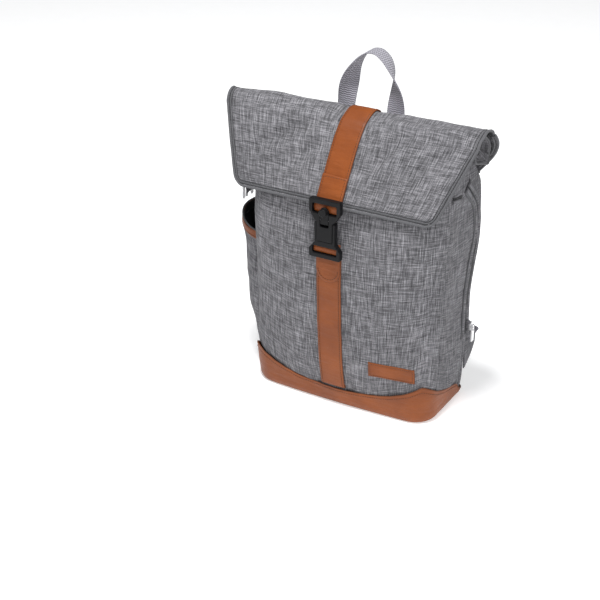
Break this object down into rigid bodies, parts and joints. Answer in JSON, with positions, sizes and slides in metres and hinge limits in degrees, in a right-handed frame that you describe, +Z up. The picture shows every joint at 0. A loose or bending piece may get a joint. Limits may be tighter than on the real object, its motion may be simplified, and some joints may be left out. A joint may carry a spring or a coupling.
{
  "type": "diaper bag",
  "caption": "Fold-over backpack diaper bag with a rolled top flap, leather centre strap with magnetic buckle, leather base, bottle pocket, side zip, carrying handle and shoulder straps.",
  "frame": {"origin": "centre of the flat base, on the surface the bag stands on", "axes": "+Z up, +Y towards the wearer's back, -Y out of the front face with the buckle, +X to the right of the front seen from the front"},
  "size_m": [0.374, 0.2136, 0.473],
  "materials": {
    "melange_cloth": "heathered grey polyester canvas, two-tone yarn",
    "tan_leather": "smooth tan imitation leather with fine grain",
    "lining_cloth": "black plain-weave lining",
    "padded_cloth": "padded air mesh and canvas",
    "elastic": "ribbed elastic",
    "webbing": "ribbed polyester webbing",
    "piping": "corded edge binding",
    "black_plastic": "moulded black nylon, fine texture",
    "zip_tape": "black coil zip tape",
    "bright_metal": "plated zinc, satin",
    "steel": "plain",
    "stiffener": "extruded board"
  },
  "bodies": {
    "bag": {"base_cup": "tan_leather", "front_panel": "melange_cloth", "back_panel": "melange_cloth", "left_gusset": "melange_cloth", "right_gusset": "melange_cloth", "mouth_collar": "melange_cloth", "lining": "lining_cloth", "base_board": "stiffener", "tablet_sleeve": "lining_cloth", "inner_pockets": "lining_cloth", "pocket_elastic": "elastic", "label_patch": "tan_leather", "bottle_pocket": "melange_cloth", "bottle_pocket_trim": "tan_leather", "slit_pocket_welt": "melange_cloth", "lower_strap": "tan_leather", "lower_strap_tab": "tan_leather", "buckle_socket": "black_plastic", "socket_magnet": "steel", "side_zip_tape": "zip_tape", "side_zip_lip_front": "melange_cloth", "side_zip_lip_back": "melange_cloth", "main_zip_end": "zip_tape", "mouth_tape_front": "zip_tape", "mouth_tape_back": "zip_tape", "strap_yoke": "melange_cloth", "back_pad_left": "padded_cloth", "back_pad_right": "padded_cloth", "strap_pad_left": "padded_cloth", "strap_pad_right": "padded_cloth", "strap_roots": "melange_cloth", "strap_wing_left": "melange_cloth", "strap_wing_right": "melange_cloth", "strap_webbings": "webbing", "lock_loops": "webbing"},
    "fold": {"fold_panel": "melange_cloth", "fold_roll": "melange_cloth", "fold_lining": "lining_cloth", "roll_strap": "tan_leather", "handle_anchors": "webbing"},
    "flap": {"flap_panel": "melange_cloth", "flap_lining": "lining_cloth", "flap_piping": "piping", "upper_strap": "tan_leather", "upper_strap_tab": "tan_leather", "buckle_plug": "black_plastic", "plug_magnet": "steel", "lever_pin": "steel"},
    "buckle_lever": {"release_lever": "black_plastic"},
    "handle": {"carry_handle": "webbing"},
    "side_zip_slider": {"side_slider": "bright_metal"},
    "side_zip_pull": {"side_pull": "bright_metal"},
    "main_zip_slider_a": {"main_slider_a": "bright_metal"},
    "main_zip_pull_a": {"main_pull_a": "bright_metal"},
    "main_zip_slider_b": {"main_slider_b": "bright_metal"},
    "main_zip_pull_b": {"main_pull_b": "bright_metal"},
    "lock_left": {"ladder_lock_left": "black_plastic", "webbing_tail_left": "webbing"},
    "lock_right": {"ladder_lock_right": "black_plastic", "webbing_tail_right": "webbing"}
  },
  "joints": [
    {"name": "fold_tilt", "type": "hinge", "parent": "bag", "child": "fold", "pos_m": [0, 0.06, 0.329], "axis": [-1, 0, 0], "range_deg": [0, 40]},
    {"name": "flap_lift", "type": "hinge", "parent": "fold", "child": "flap", "pos_m": [0, -0.04024, 0.39613], "axis": [-1, 0, 0], "range_deg": [0, 140]},
    {"name": "buckle_release", "type": "hinge", "parent": "flap", "child": "buckle_lever", "pos_m": [0, -0.0944, 0.286], "axis": [1, 0, 0], "range_deg": [0, 20], "stiffness_Nm_per_rad": 0.03},
    {"name": "handle_flop", "type": "hinge", "parent": "fold", "child": "handle", "pos_m": [0, 0.0227, 0.386], "axis": [-1, 0, 0], "range_deg": [-25, 110]},
    {"name": "side_zip_run", "type": "slide", "parent": "bag", "child": "side_zip_slider", "axis": [0, 0, 1], "range_m": [0, 0.105]},
    {"name": "side_pull_swing", "type": "hinge", "parent": "side_zip_slider", "child": "side_zip_pull", "pos_m": [0.1505, 0.0439, 0.112], "axis": [0, -1, 0], "range_deg": [0, 120]},
    {"name": "main_zip_run_a", "type": "slide", "parent": "bag", "child": "main_zip_slider_a", "axis": [0, 1, 0], "range_m": [-0.01, 0.008]},
    {"name": "main_pull_swing_a", "type": "hinge", "parent": "main_zip_slider_a", "child": "main_zip_pull_a", "pos_m": [-0.1546, -0.042, 0.287], "axis": [0, 1, 0], "range_deg": [0, 85]},
    {"name": "main_zip_run_b", "type": "slide", "parent": "bag", "child": "main_zip_slider_b", "axis": [0, 1, 0], "range_m": [0, 0.045]},
    {"name": "main_pull_swing_b", "type": "hinge", "parent": "main_zip_slider_b", "child": "main_zip_pull_b", "pos_m": [-0.1546, -0.022, 0.287], "axis": [0, 1, 0], "range_deg": [0, 85]},
    {"name": "lock_tilt_left", "type": "hinge", "parent": "bag", "child": "lock_left", "pos_m": [-0.084, 0.098, 0.126], "axis": [1, 0, 0], "range_deg": [0, 25]},
    {"name": "lock_tilt_right", "type": "hinge", "parent": "bag", "child": "lock_right", "pos_m": [0.084, 0.098, 0.126], "axis": [1, 0, 0], "range_deg": [0, 25]}
  ]
}
